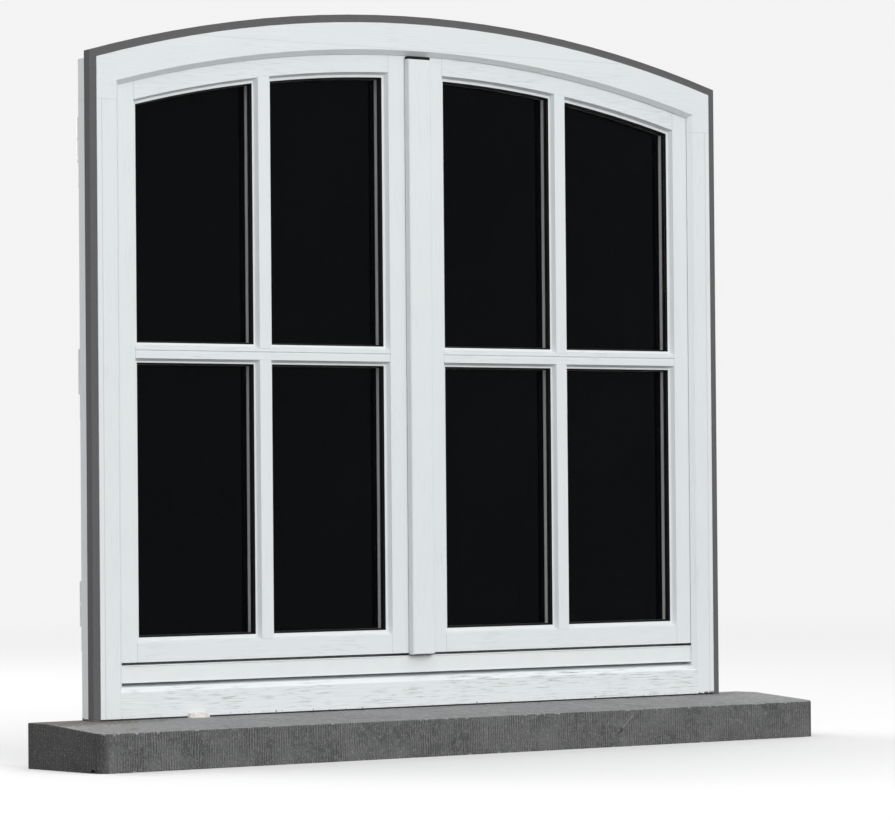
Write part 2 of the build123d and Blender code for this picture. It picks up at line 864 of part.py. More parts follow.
# Lever handle: its spindle turns in the case, and at rest the lever points level to the left
boss_y = case_front_y + rod_fit
neck_y = boss_y + boss_height
lever_y = neck_y + neck_height
with BuildPart() as bolt_handle:
    with BuildSketch(wall_plane(rod_back_y)):
        with Locations((0, case_z)):
            Circle(spindle_radius)
    extrude(amount=rod_back_y - boss_y)
    with BuildSketch(wall_plane(boss_y)):
        with Locations((0, case_z)):
            Circle(boss_radius)
    extrude(amount=-boss_height)
    with BuildSketch(wall_plane(neck_y)):
        with Locations((0, case_z)):
            Circle(neck_radius)
    extrude(amount=-neck_height)
    with BuildSketch(wall_plane(lever_y)):
        with Locations((-lever_length / 2, case_z)):
            SlotCenterToCenter(lever_length, lever_width)
    extrude(amount=-lever_thickness)
    chamfer(bolt_handle.faces().sort_by(Axis.Y)[-1].edges(), length=lever_arris)

# Write every finished piece under its own name
finished = {
    "stone_sill": stone_sill.part,
    "frame_head": frame_head.part,
    "frame_left_jamb": frame_left_jamb.part,
    "frame_right_jamb": frame_right_jamb.part,
    "frame_bottom_rail": frame_bottom_rail.part,
    "joint_tape": joint_tape.part,
    "rain_bar": rain_bar.part,
    "rain_bar_end_caps": rain_bar_end_caps.part,
    "outside_cover_strip": outside_cover_strip.part,
    "inside_cover_strip": inside_cover_strip.part,
    "upper_bolt_rod": upper_bolt_rod.part,
    "lower_bolt_rod": lower_bolt_rod.part,
    "bolt_keeps": bolt_keeps.part,
    "bolt_guides": bolt_guides.part,
    "bolt_case": bolt_case.part,
    "bolt_handle": bolt_handle.part,
}
for node_name, left_part in left_nodes.items():
    with BuildPart() as right_copy:
        mirror(left_part, about=Plane.YZ)
    finished[f"left_{node_name}"] = left_part
    finished[f"right_{node_name}"] = right_copy.part

os.makedirs("parts", exist_ok=True)
for node_name, finished_part in finished.items():
    finished_part.label = node_name
    export_step(finished_part, f"parts/{node_name}.step")
    print(f"{node_name}: {len(finished_part.solids())} solid, {finished_part.volume:.0f} mm3")
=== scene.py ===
# %% [markdown]
# # A white casement window with an arched head
#
# The window is painted softwood. Its frame holds two leaves that open inwards and meet in the middle, and
# each leaf is divided into four lights by slender glazing bars. The solids of every member are already made
# to size, so this script gives them their finish, adds the small fastenings and sealing lines, and sets up
# a plain studio and the camera. All sizes are in metres: X runs along the sill, Y from the outside to the
# inside and Z up.

# %% Load the window's solids
import math

import bmesh
import bpy
from mathutils import Matrix, Vector


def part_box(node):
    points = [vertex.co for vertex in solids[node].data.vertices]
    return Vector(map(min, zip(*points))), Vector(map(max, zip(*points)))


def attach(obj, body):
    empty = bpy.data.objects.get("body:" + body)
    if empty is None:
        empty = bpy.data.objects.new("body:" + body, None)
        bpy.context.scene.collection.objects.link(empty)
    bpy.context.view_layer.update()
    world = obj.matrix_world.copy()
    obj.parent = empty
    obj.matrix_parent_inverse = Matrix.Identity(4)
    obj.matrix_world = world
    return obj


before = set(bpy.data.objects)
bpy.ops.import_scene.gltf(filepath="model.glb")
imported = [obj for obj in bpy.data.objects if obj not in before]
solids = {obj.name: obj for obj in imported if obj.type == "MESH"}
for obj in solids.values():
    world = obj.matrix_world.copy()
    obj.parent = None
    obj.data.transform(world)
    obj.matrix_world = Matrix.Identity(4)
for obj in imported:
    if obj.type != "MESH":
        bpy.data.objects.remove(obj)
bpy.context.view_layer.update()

# %% [markdown]
# ## Camera
#
# The picture was taken from outside, to the left of the window and a little below its middle, from about
# seven metres away. The lens is therefore long, and its axis turns 38 degrees to the right of the straight
# way in. A long lens keeps the glazing bars nearly parallel, which is why the window looks flat and calm.

# %% Place the camera
PICTURE_WIDTH = 895
FOCAL_PIXELS = 4520.1
SENSOR_WIDTH = 36.0
camera_turn = math.radians(38.121)
camera_tilt = math.radians(1.0955)
camera_roll = math.radians(-0.4839)
camera_place = Vector((-4.5016, -5.8059, 0.412))

level_forward = Vector((math.sin(camera_turn), math.cos(camera_turn), 0))
level_right = Vector((math.cos(camera_turn), -math.sin(camera_turn), 0))
upright = Vector((0, 0, 1))
forward = level_forward * math.cos(camera_tilt) + upright * math.sin(camera_tilt)
tilted_up = upright * math.cos(camera_tilt) - level_forward * math.sin(camera_tilt)
picture_right = level_right * math.cos(camera_roll) + tilted_up * math.sin(camera_roll)
picture_up = tilted_up * math.cos(camera_roll) - level_right * math.sin(camera_roll)

camera_data = bpy.data.cameras.new("street_camera")
camera_data.sensor_width = SENSOR_WIDTH
camera_data.lens = FOCAL_PIXELS * SENSOR_WIDTH / PICTURE_WIDTH
camera_data.clip_end = 200.0
camera = bpy.data.objects.new("street_camera", camera_data)
turn = Matrix((picture_right, picture_up, -forward)).transposed().to_4x4()
camera.matrix_world = Matrix.Translation(camera_place) @ turn
bpy.context.scene.collection.objects.link(camera)
bpy.context.scene.camera = camera
print("lens", round(camera_data.lens, 2), "mm")

# %% [markdown]
# ## Small tools for materials
#
# A finish is easiest to read as a recipe: noise makes patterns, patterns make masks, and masks lay one
# colour over another. The class below holds one tree of shader nodes and has a short word for each of those
# steps, so that the cells after it can speak of paint and stone.


# %% Words of a recipe
class Recipe:
    """Adds nodes to one tree. A value is a number, a colour or the socket of another node."""

    def __init__(self, tree):
        self.tree = tree

    def feed(self, socket, value):
        """Link a socket to another one, or set it directly."""
        if isinstance(value, bpy.types.NodeSocket):
            self.tree.links.new(value, socket)
        else:
            socket.default_value = value

    def add(self, kind, inputs=None, **settings):
        """Add a node, apply its settings and feed its inputs."""
        made = self.tree.nodes.new(kind)
        for setting, value in settings.items():
            setattr(made, setting, value)
        for socket, value in (inputs or {}).items():
            self.feed(made.inputs[socket], value)
        return made

    def step(self, operation, first, second=0.0):
        """One step of arithmetic."""
        return self.add("ShaderNodeMath", {0: first, 1: second}, operation=operation).outputs[0]

    def times(self, first, *others):
        for other in others:
            first = self.step("MULTIPLY", first, other)
        return first

    def plus(self, first, *others):
        for other in others:
            first = self.step("ADD", first, other)
        return first

    def minus(self, first, second):
        return self.step("SUBTRACT", first, second)

    def size_of(self, value):
        """The value without its sign."""
        return self.step("ABSOLUTE", value)

    def largest(self, first, *others):
        for other in others:
            first = self.step("MAXIMUM", first, other)
        return first

    def rise(self, value, low, high):
        """Smooth mask that rises from 0 to 1 while the value goes from low to high."""
        inputs = {"Value": value, "From Min": low, "From Max": high}
        return self.add("ShaderNodeMapRange", inputs, interpolation_type="SMOOTHSTEP").outputs[0]

    def fall(self, value, low, high):
        """Smooth mask that falls from 1 to 0 while the value goes from low to high."""
        return self.minus(1.0, self.rise(value, low, high))

    def blend(self, mask, first, second):
        """Colour that goes from the first to the second with a mask."""
        return self.add("ShaderNodeMix", {0: mask, 6: first, 7: second}, data_type="RGBA").outputs[2]

    def parts(self, vector):
        """The three numbers of a vector."""
        return self.add("ShaderNodeSeparateXYZ", {0: vector}).outputs


def grey(level):
    """Neutral colour of one level."""
    return (level, level, level, 1.0)


# %% Recipe of a material
class Finish(Recipe):
    """Recipe of one material, which knows the place on the object, the way it faces and the shader."""

    def __init__(self, name):
        self.material = bpy.data.materials.new(name)
        self.material.use_nodes = True
        super().__init__(self.material.node_tree)
        self.shader = self.tree.nodes["Principled BSDF"]
        coordinates = self.add("ShaderNodeTexCoord").outputs
        self.place = coordinates["Object"]
        self.facing = coordinates["Normal"]

    def noise(self, scale, detail=3.0, roughness=0.5, stretch=(1.0, 1.0, 1.0)):
        """Noise between 0 and 1 in the object's own space, stretched along its axes."""
        mapped = self.add("ShaderNodeMapping", {"Vector": self.place, "Scale": stretch}).outputs[0]
        inputs = {"Vector": mapped, "Scale": scale, "Detail": detail, "Roughness": roughness}
        return self.add("ShaderNodeTexNoise", inputs).outputs[0]

    def shade(self, inputs):
        """Feed inputs of the shader."""
        for socket, value in inputs.items():
            self.feed(self.shader.inputs[socket], value)

    def roughen(self, pattern, low, high):
        """Roughness that goes from low to high with a pattern."""
        inputs = {"Value": pattern, "To Min": low, "To Max": high}
        self.shade({"Roughness": self.add("ShaderNodeMapRange", inputs).outputs[0]})

    def emboss(self, height, strength, distance, edge_radius=None):
        """Raise the surface by a pattern, over edges that look rounded by a small radius."""
        inputs = {"Height": height, "Strength": strength, "Distance": distance}
        if edge_radius:
            inputs["Normal"] = self.add("ShaderNodeBevel", {"Radius": edge_radius}, samples=4).outputs[0]
        self.shade({"Normal": self.add("ShaderNodeBump", inputs).outputs[0]})


# %% [markdown]
# ## White paint on softwood
#
# The paint is brushed on along each member, so the fine ridges run lengthwise: upwards on stiles and jambs,
# sideways on rails. Rain and sun have opened the grain of the lowest rail the most, where fine dark cracks
# show. Where two members meet end to side, the paint has split along the joint and leaves a thin line, and
# at the foot of the frame it flakes off. Below that, the gap under the frame is painted nearly black: painted
# shade in the gap, over the dark sealant of the bed joint. A dark line along the back edge of the outside
# cover strip is painted shadow from the gap between strip and stile. One recipe serves all members: the
# grain's direction, the amount of weathering and the joint and painted shade lines are its choices.

# %% Painted timber
FLAKED_FOOT = (0.0728, 0.0775)
FLAKED_CORNER = (0.570, 0.625)
# Below these heights the gap under the frame's front face gets painted shade, over the bed joint's dark
# sealant.
BED_JOINT_AND_SHADE = (0.0723, 0.0729)
DARK_LINE_HALF_WIDTH = 0.0011


def joint_and_shade_line(paint, value, where):
    """Mask of a soft line where a coordinate passes a value."""
    off = paint.size_of(paint.minus(value, where))
    return paint.fall(off, DARK_LINE_HALF_WIDTH * 0.2, DARK_LINE_HALF_WIDTH)


def painted_timber(name, along, weathering, joints_and_shade_lines=()):
    """White paint with the grain along one axis; each dark line, at a paint joint or of painted shade, is
    (axis, distance from zero, strength).
    """
    paint = Finish(name)
    lengthwise = "XYZ".index(along)
    fine = [0.03 if axis == lengthwise else 1.0 for axis in range(3)]
    short = [0.065 if axis == lengthwise else 1.0 for axis in range(3)]
    brush = paint.noise(900.0, 3.0, 0.6, fine)
    grain = paint.noise(300.0, 4.0, 0.55, fine)
    clouds = paint.noise(9.0, 3.0, 0.55)
    streaks = paint.noise(420.0, 2.0, 0.5, short)
    patches = paint.noise(24.0, 3.0, 0.6, [0.3 + 0.7 * value for value in short])
    open_grain = paint.times(paint.rise(streaks, 0.49, 0.66), paint.rise(patches, 0.40, 0.62))
    open_grain = paint.times(open_grain, weathering)
    cracks = paint.times(paint.rise(streaks, 0.66, 0.76), paint.rise(patches, 0.50, 0.64))
    cracks = paint.times(cracks, weathering)

    colour = paint.blend(clouds, (0.750, 0.785, 0.799, 1), (0.790, 0.824, 0.838, 1))
    colour = paint.blend(paint.times(grain, 0.20), colour, (0.58, 0.61, 0.62, 1))
    colour = paint.blend(paint.times(open_grain, 0.72), colour, (0.43, 0.45, 0.46, 1))
    colour = paint.blend(paint.times(cracks, 0.80), colour, grey(0.22))

    sides = paint.parts(paint.place)
    for axis, distance, strength in joints_and_shade_lines:
        line = joint_and_shade_line(paint, paint.size_of(sides["XYZ".index(axis)]), distance)
        colour = paint.blend(paint.times(line, strength), colour, grey(0.30))

    corner = paint.times(paint.rise(sides[0], *FLAKED_CORNER), 0.24)
    eaten = paint.rise(paint.plus(paint.noise(150.0, 3.0, 0.6), corner), 0.60, 0.66)
    flakes = paint.times(paint.fall(sides[2], *FLAKED_FOOT), eaten)
    colour = paint.blend(flakes, colour, (0.045, 0.042, 0.036, 1))
    # Painted shade: the gap surfaces under the frame turn nearly black, together with the bed joint's dark
    # sealant.
    bed_joint_shade = paint.times(paint.fall(sides[2], *BED_JOINT_AND_SHADE), 0.93)
    colour = paint.blend(bed_joint_shade, colour, (0.030, 0.030, 0.028, 1))

    paint.shade({"Base Color": colour, "Specular IOR Level": 0.35})
    paint.roughen(clouds, 0.42, 0.60)
    ridges = paint.plus(paint.times(brush, 0.35), grain)
    sunk = paint.plus(paint.times(cracks, 1.6), paint.times(open_grain, 0.5))
    paint.emboss(paint.minus(ridges, sunk), 0.32 + 0.40 * weathering, 0.0006, edge_radius=0.0009)
    return paint.material


# %% Paint for each kind of member
HEAD_JOINT = ("Z", 1.0305, 0.14)
GLUE_LINE = ("Z", 1.139, 0.16)
JAMB_EDGE = ("X", 0.619, 0.35)
# The line on the strip is painted shadow: a dark line along its back edge, where the gap to the stile lies in
# shade.
STRIP_GAP_SHADE = ("Y", 0.0082, 0.8)
RAIL_ENDS = (("X", 0.055, 0.5), ("X", 0.5535, 0.5))
stile_paint = painted_timber("stile_paint", "Z", 0.12)
leaf_rail_paint = painted_timber("leaf_rail_paint", "X", 0.28, RAIL_ENDS)
strip_paint = painted_timber("strip_paint", "Z", 0.12, (STRIP_GAP_SHADE,))
jamb_paint = painted_timber("jamb_paint", "Z", 0.16, (HEAD_JOINT, JAMB_EDGE))
head_paint = painted_timber("head_paint", "X", 0.20, (HEAD_JOINT, GLUE_LINE))
frame_rail_paint = painted_timber("frame_rail_paint", "X", 0.95)
paints = (stile_paint, leaf_rail_paint, strip_paint, jamb_paint, head_paint, frame_rail_paint)
print("made", *(paint.name for paint in paints))

# %% [markdown]
# ## Bluestone sill
#
# The sill is one sawn block of dense blue-grey limestone. Its sides are dragged with a toothed chisel,
# which leaves fine upright lines a few millimetres apart. The lines are a sine wave along the face, and
# noise bends them, leaves some out and wears others away. Which side a spot lies on is read from the way it
# faces.


# %% Sides and tooled lines of the stone
LINE_SPACING = 0.0047
LINE_WOBBLE = 0.007


def sill_sides(rock):
    """Masks of the sloping top, the street side and the two ends."""
    x, y, z = rock.parts(rock.facing)
    top = rock.rise(z, 0.5, 0.95)
    street = rock.rise(rock.times(y, -1.0), 0.2, 0.7)
    ends = rock.rise(rock.size_of(x), 0.10, 0.70)
    return top, street, ends


def tooled_lines(rock, upright_side):
    """Masks of the ridges and the furrows that the chisel left on the upright sides."""
    x, y, _ = rock.parts(rock.place)
    along = rock.plus(x, y, rock.times(rock.noise(40.0, 2.0, 0.5), LINE_WOBBLE))
    wave = rock.step("SINE", rock.times(along, 2 * math.pi / LINE_SPACING))
    wave = rock.times(rock.plus(wave, 1.0), 0.5)
    each_line = rock.rise(rock.noise(190.0, 1.0, 0.5, (1.0, 1.0, 0.07)), 0.26, 0.60)
    kept = rock.rise(rock.noise(26.0, 3.0, 0.6), 0.34, 0.58)
    cut = rock.times(each_line, kept, upright_side)
    ridges = rock.times(wave, cut)
    return ridges, rock.minus(cut, ridges)


# %% [markdown]
# ## Wear, dirt and painted shade of the stone
#
# Knocks have splintered the sill's front edges, and something hard has drawn a pale scratch that starts in
# a dark nick. Rain leaves brown soil on the top, most at the foot of the frame and at the left end. The top
# under the frame, inside the gap, is painted nearly black: painted shade in the gap, together with the dark
# sealant of the joint. Each of these is a mask, so that colour and relief can share it.

# %% Chips, scratch, soil and painted shade
CHIP_TOP = (0.050, 0.060)
CHIP_FRONT = (0.139, 0.1475)
CHIP_FOOT = (0.0, 0.007)
SCRATCH_START = (0.2915, -0.148, 0.024)
SCRATCH_TURN = math.radians(44.3)
FRAME_AND_TAPE = 0.640


def chips(rock, top, street, flaw):
    """Mask of splinters missing along the front edges."""
    _, y, z = rock.parts(rock.place)
    to_top = rock.times(rock.rise(z, *CHIP_TOP), street)
    to_front = rock.times(rock.rise(rock.times(y, -1.0), *CHIP_FRONT), top)
    to_foot = rock.times(rock.fall(z, *CHIP_FOOT), street)
    edge = rock.largest(to_top, to_front, to_foot)
    return rock.rise(rock.plus(flaw, rock.times(edge, 0.35)), 0.89, 0.95)


def scratch_and_nick(rock, street, flaw, mottle):
    """Masks of the pale scratch on the front and of the nick where it starts."""
    ends = {0: rock.place, 1: SCRATCH_START}
    from_start = rock.add("ShaderNodeVectorMath", ends, operation="SUBTRACT").outputs[0]
    turned = {"Vector": from_start, "Axis": (0.0, 1.0, 0.0), "Angle": SCRATCH_TURN}
    length, _, across = rock.parts(rock.add("ShaderNodeVectorRotate", turned).outputs[0])
    off_line = rock.size_of(rock.minus(rock.plus(across, rock.times(mottle, 0.011)), 0.0055))
    line = rock.times(rock.fall(off_line, 0.0006, 0.0017), rock.rise(length, 0.004, 0.010))
    line = rock.times(line, rock.fall(length, 0.050, 0.056), street, rock.rise(flaw, 0.38, 0.55))
    off_nick = rock.plus(off_line, rock.times(length, -0.12))
    nick = rock.times(rock.fall(off_nick, 0.0008, 0.0022), rock.fall(rock.size_of(length), 0.006, 0.009))
    return line, rock.times(nick, street)


def soil_and_bed_shade(rock, top, mottle):
    """Masks of the soil on the top and of the painted shade, with the joint's dark sealant, in the gap under
    the frame.
    """
    x, y, _ = rock.parts(rock.place)
    by_frame = rock.times(rock.rise(y, -0.060, -0.004), 0.20)
    leftward = rock.times(rock.rise(rock.times(x, -1.0), 0.44, 0.66), 0.18)
    soil = rock.rise(rock.plus(mottle, rock.plus(by_frame, leftward)), 0.68, 0.82)
    under_frame = rock.step("LESS_THAN", rock.size_of(x), FRAME_AND_TAPE)
    bed_joint_shade = rock.times(rock.rise(y, -0.0002, 0.0004), top, under_frame)
    return rock.times(soil, top, 0.85), bed_joint_shade


# %% [markdown]
# ## Colour of the stone
#
# The upright sides are dark, with blotches and pale ridges; the furrows between the ridges are painted
# black as painted shade. The ends are darkest, with painted shade as well as dirt. The sloping top has
# bleached where the rain runs off. Chips show fresh pale stone, and fine grit covers everything.


# %% Bluestone
def bluestone():
    rock = Finish("bluestone")
    clouds = rock.noise(16.0, 5.0, 0.62)
    mottle = rock.noise(120.0, 4.0, 0.65)
    grit = rock.noise(430.0, 3.0, 0.7)
    flaw = rock.noise(70.0, 4.0, 0.65)
    top, street, ends = sill_sides(rock)
    ridges, furrows = tooled_lines(rock, rock.minus(1.0, top))
    chipped = chips(rock, top, street, flaw)
    scratched, nicked = scratch_and_nick(rock, street, flaw, mottle)
    soil, bed_joint_shade = soil_and_bed_shade(rock, top, mottle)

    blotches = rock.rise(clouds, 0.22, 0.80)
    dark = rock.blend(blotches, (0.052, 0.054, 0.056, 1), (0.160, 0.162, 0.166, 1))
    dark = rock.blend(rock.rise(mottle, 0.42, 0.74), dark, grey(0.150))
    dark = rock.blend(rock.times(ridges, 0.50), dark, grey(0.27))
    # Painted shade: the furrows of the tooled lines turn nearly black.
    dark = rock.blend(rock.times(furrows, 0.55), dark, grey(0.030))
    # Painted shade and dirt: the end faces are darkened.
    dark = rock.blend(rock.times(ends, 0.72), dark, (0.034, 0.033, 0.031, 1))
    bleached = rock.blend(clouds, (0.14, 0.145, 0.147, 1), (0.34, 0.345, 0.347, 1))
    bleached = rock.blend(rock.rise(mottle, 0.40, 0.74), bleached, grey(0.37))

    colour = rock.blend(top, dark, bleached)
    colour = rock.blend(rock.times(chipped, 0.8), colour, grey(0.36))
    colour = rock.blend(rock.times(scratched, 0.50), colour, grey(0.30))
    colour = rock.blend(rock.times(nicked, 0.85), colour, grey(0.030))
    colour = rock.blend(soil, colour, (0.105, 0.090, 0.064, 1))
    # Painted shade and dark sealant: the top under the frame turns nearly black.
    colour = rock.blend(bed_joint_shade, colour, grey(0.028))
    colour = rock.blend(rock.times(rock.fall(grit, 0.30, 0.46), 0.45), colour, grey(0.045))
    colour = rock.blend(rock.rise(grit, 0.54, 0.74), colour, grey(0.29))
    rock.shade({"Base Color": colour, "Roughness": 0.85, "Specular IOR Level": 0.25})

    raised = rock.plus(rock.times(ridges, 0.9), rock.plus(rock.times(grit, 0.5), rock.times(mottle, 0.6)))
    missing = rock.plus(rock.times(chipped, 0.9), nicked)
    rock.emboss(rock.minus(raised, missing), 0.7, 0.0014, edge_radius=0.002)
    return rock.material


stone = bluestone()
print("bluestone", len(stone.node_tree.nodes), "nodes")

# %% [markdown]
# ## Rain bar, foam tape and seals
#
# The rain bar is a coated metal section, smoother and a little brighter than the wood, with the faint
# orange peel of a sprayed coat. Foam tape fills the joint round the frame, and its cut cells make it dull.
# Seals, sealant and caps are black rubber with a slight bloom.


# %% Coated metal, foam and rubber
def coated_metal():
    coat = Finish("coated_metal")
    dust = coat.noise(30.0, 4.0, 0.6)
    coat.shade({"Base Color": coat.blend(dust, (0.735, 0.765, 0.775, 1), (0.790, 0.820, 0.830, 1))})
    coat.roughen(dust, 0.28, 0.45)
    coat.emboss(coat.noise(900.0, 2.0, 0.5), 0.15, 0.0002, edge_radius=0.0006)
    return coat.material


def foam():
    tape = Finish("foam")
    cells = tape.add("ShaderNodeTexVoronoi", {"Vector": tape.place, "Scale": 900.0}).outputs["Distance"]
    colour = tape.blend(cells, (0.085, 0.085, 0.088, 1), (0.165, 0.165, 0.168, 1))
    tape.shade({"Base Color": colour, "Roughness": 0.95, "Specular IOR Level": 0.2})
    tape.emboss(cells, 0.7, 0.0008)
    return tape.material


def rubber():
    seal = Finish("rubber")
    bloom = seal.noise(220.0, 3.0, 0.6)
    seal.shade({"Base Color": seal.blend(bloom, grey(0.004), grey(0.016))})
    seal.shade({"Roughness": 0.7, "Specular IOR Level": 0.12})
    seal.emboss(bloom, 0.2, 0.0003)
    return seal.material


white_metal = coated_metal()
tape_foam = foam()
black_rubber = rubber()
print("made", white_metal.name, tape_foam.name, black_rubber.name)

# %% [markdown]
# ## Spacer bars
#
# A hollow bar of bare metal keeps the two panes of each unit apart. Black sealing compound covers it where
# it touches the glass, so only the middle of its inner side shines as a thin pale line. The level bars lie
# in the shade of the rails and are made darker.


# %% Spacer metal
def spacer_metal():
    bar = Finish("spacer_metal")
    low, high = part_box("left_spacers")
    middle = (low.y + high.y) / 2
    half_width = (high.y - low.y) / 2
    facing = bar.parts(bar.facing)
    depth = bar.parts(bar.place)[1]
    mill = bar.noise(500.0, 3.0, 0.6, (0.2, 1.0, 0.2))
    off_middle = bar.size_of(bar.minus(depth, middle))
    by_glass = bar.rise(off_middle, half_width * 0.62, half_width * 0.80)
    compound = bar.largest(bar.rise(bar.size_of(facing[1]), 0.5, 0.8), by_glass)
    # Painted shade: the level bars, which face up or down, are darkened where the rails shade them.
    level_bar_shade = bar.times(bar.rise(bar.size_of(facing[2]), 0.5, 0.8), 0.85)

    metal = bar.blend(mill, (0.72, 0.73, 0.74, 1), (0.88, 0.89, 0.90, 1))
    metal = bar.blend(level_bar_shade, metal, grey(0.05))
    bar.shade({"Base Color": bar.blend(compound, metal, grey(0.006)), "Metallic": 0.25, "Roughness": 0.5})
    bar.emboss(mill, 0.25, 0.0003)
    return bar.material


spacer_bar = spacer_metal()
print("made", spacer_bar.name)

# %% [markdown]
# ## Glass and steel
#
# By day the panes look black from the street. The outside pane is almost clear, so that the pale spacer bar
# shows through it at the edge. The inside pane is coloured nearly black as painted shade: it stands for the
# dark room behind the glass, which becomes part of the window itself. It alone has gloss: on the nearly
# clear pane a sharp reflection would render as white specks. The bolt work and the hinges are satin steel
# with fine lines from the grinding belt.


# %% Glass and steel
def clear_glass():
    pane = Finish("clear_glass")
    film = pane.noise(24.0, 4.0, 0.6)
    tint = pane.blend(film, (0.002, 0.003, 0.003, 1), (0.012, 0.014, 0.014, 1))
    pane.shade({"Base Color": tint})
    pane.shade({"Roughness": 0.0, "IOR": 1.5, "Specular IOR Level": 0.0, "Alpha": 0.04})
    return pane.material


def dark_glass():
    pane = Finish("dark_glass")
    film = pane.noise(5.0, 3.0, 0.55)
    # Painted shade: the pane is coloured nearly black to stand for the dark room behind the glass.
    tint = pane.blend(film, (0.0004, 0.0006, 0.0010, 1), (0.0022, 0.0026, 0.0034, 1))
    pane.shade({"Base Color": tint, "Roughness": 0.03, "Specular IOR Level": 0.045})
    return pane.material


def satin_steel():
    metal = Finish("satin_steel")
    belt = metal.noise(900.0, 3.0, 0.6, (1.0, 1.0, 0.03))
    haze = metal.noise(35.0, 3.0, 0.6)
    colour = metal.blend(haze, (0.40, 0.405, 0.41, 1), (0.56, 0.565, 0.57, 1))
    metal.shade({"Base Color": colour, "Metallic": 1.0})
    metal.roughen(belt, 0.28, 0.46)
    metal.emboss(belt, 0.2, 0.0002, edge_radius=0.0006)
    return metal.material


outside_glass = clear_glass()
inside_glass = dark_glass()
steel = satin_steel()
print("made", outside_glass.name, inside_glass.name, steel.name)

# %% [markdown]
# ## Which member gets which finish
#
# The members' names tell what they are, so the finish follows from how a name ends. The first ending that
# fits holds, and what none of them fits is an upright piece of a leaf.

# %% Give every solid its finish
finish_by_ending = {
    "stone_sill": stone,
    "frame_bottom_rail": frame_rail_paint,
    "frame_head": head_paint,
    "_jamb": jamb_paint,
    "_cover_strip": strip_paint,
    "_top_rail": leaf_rail_paint,
    "_bottom_rail": leaf_rail_paint,
    "_horizontal_bar": leaf_rail_paint,
    "rain_bar": white_metal,
    "rain_bar_end_caps": white_metal,
    "joint_tape": tape_foam,
    "_seal": black_rubber,
    "_setting_blocks": black_rubber,
    "_spacers": spacer_bar,
    "_outside_glass": outside_glass,
    "_inside_glass": inside_glass,
    "_hinges": steel,
    "_rod": steel,
    "bolt_keeps": steel,
    "bolt_guides": steel,
    "bolt_case": steel,
    "bolt_handle": steel,
}
for node_name, solid in solids.items():
    fitting = [finish for ending, finish in finish_by_ending.items() if node_name.endswith(ending)]
    solid.data.materials.clear()
    solid.data.materials.append(fitting[0] if fitting else stile_paint)
used = {solid.data.materials[0].name for solid in solids.values()}
print(len(used), "finishes on", len(solids), "solids")

# %% [markdown]
# ## Small tools for pieces
#
# The pieces below are modelled where they sit on the window. Each one becomes a mesh object that rides on
# the body that carries it, and takes a finish that it shares with the solids.


# %% Helpers for pieces
def finish_piece(name, shape, material, body):
    """Turn a shape into an object that rides on a body."""
    bmesh.ops.remove_doubles(shape, verts=shape.verts, dist=0.000001)
    bmesh.ops.recalc_face_normals(shape, faces=shape.faces)
    mesh = bpy.data.meshes.new(name)
    shape.to_mesh(mesh)
    shape.free()
    mesh.materials.append(material)
    piece = bpy.data.objects.new(name, mesh)
    bpy.context.scene.collection.objects.link(piece)
    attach(piece, body)
    print(name, len(mesh.polygons), "faces")


def closed_loop(shape, points):
    """Closed loop of edges through points."""
    corners = [shape.verts.new(point) for point in points]
    return [shape.edges.new((corners[i - 1], corners[i])) for i in range(len(corners))]


# %% [markdown]
# ## Black sealing line round each pane
#
# A glazier beds the pane against the wood's lip and runs a bead of black sealant into the corner between
# them. It covers the side of the lip, so from the street the white moulding ends in a crisp dark line. The
# bead follows the sight line, which is a rectangle for the lower lights and has an arched top for the upper
# ones. Loops of that line at growing insets are bridged, which keeps the corners sharp and the arch smooth.

# %% Sight line of a light
LIGHTS = ("lower_jamb", "lower_centre", "upper_jamb", "upper_centre")
GLASS_COVER = 0.009
ARCH_CENTRE_HEIGHT = -1.1795
ARCH_SIGHT_RADIUS = 2.2725
ARC_STEPS = 24


def sight_line(leaf, light, inset):
    """Points (x, z) round a light's visible glass, moved inwards by inset."""
    low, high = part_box(f"{leaf}_{light}_outside_glass")
    left = low.x + GLASS_COVER + inset
    right = high.x - GLASS_COVER - inset
    bottom = low.z + GLASS_COVER + inset
    if light.startswith("lower"):
        top = high.z - GLASS_COVER - inset
        return [(left, bottom), (right, bottom), (right, top), (left, top)]
    radius = ARCH_SIGHT_RADIUS - inset
    points = [(left, bottom), (right, bottom)]
    for step in range(ARC_STEPS + 1):
        x = right + (left - right) * step / ARC_STEPS
        points.append((x, ARCH_CENTRE_HEIGHT + math.sqrt(radius**2 - x**2)))
    return points


# %% Sealant beads
BEAD_PROFILE = (
    (-0.0002, 0.0),
    (0.00015, 0.0039),
    (0.0004, 0.0025),
    (0.0009, 0.0012),
    (0.0019, 0.0001),
)

for leaf in ("left", "right"):
    shape = bmesh.new()
    for light in LIGHTS:
        glass_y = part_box(f"{leaf}_{light}_outside_glass")[0].y
        loops = []
        for inset, rise in BEAD_PROFILE:
            points = [(x, glass_y - rise, z) for x, z in sight_line(leaf, light, inset)]
            loops.append(closed_loop(shape, points))
        for step in range(len(loops)):
            bmesh.ops.bridge_loops(shape, edges=loops[step - 1] + loops[step])
    finish_piece(f"{leaf}_sealant_beads", shape, black_rubber, f"{leaf}_leaf")

# %% [markdown]
# ## Screws
#
# Every plate is held by countersunk screws with a slot. One screw head is modelled as a low dome: a disc is
# raised, its top is inset and lifted, and the slot is cut by splitting the top along two lines and pushing
# the strip between them down. The heads then go to their places on plates, guides, keeps and case, each
# slot turned a little differently, as screws stop where they bite.

# %% Screw heads
HEAD_SIDES = 24
HEAD_RISE = 0.10
HEAD_RIM = 0.22
SLOT_HALF_WIDTH = 0.14
SLOT_DEPTH = 0.22
FIRST_SLOT_TURN = 0.4
NEXT_SLOT_TURN = 1.1


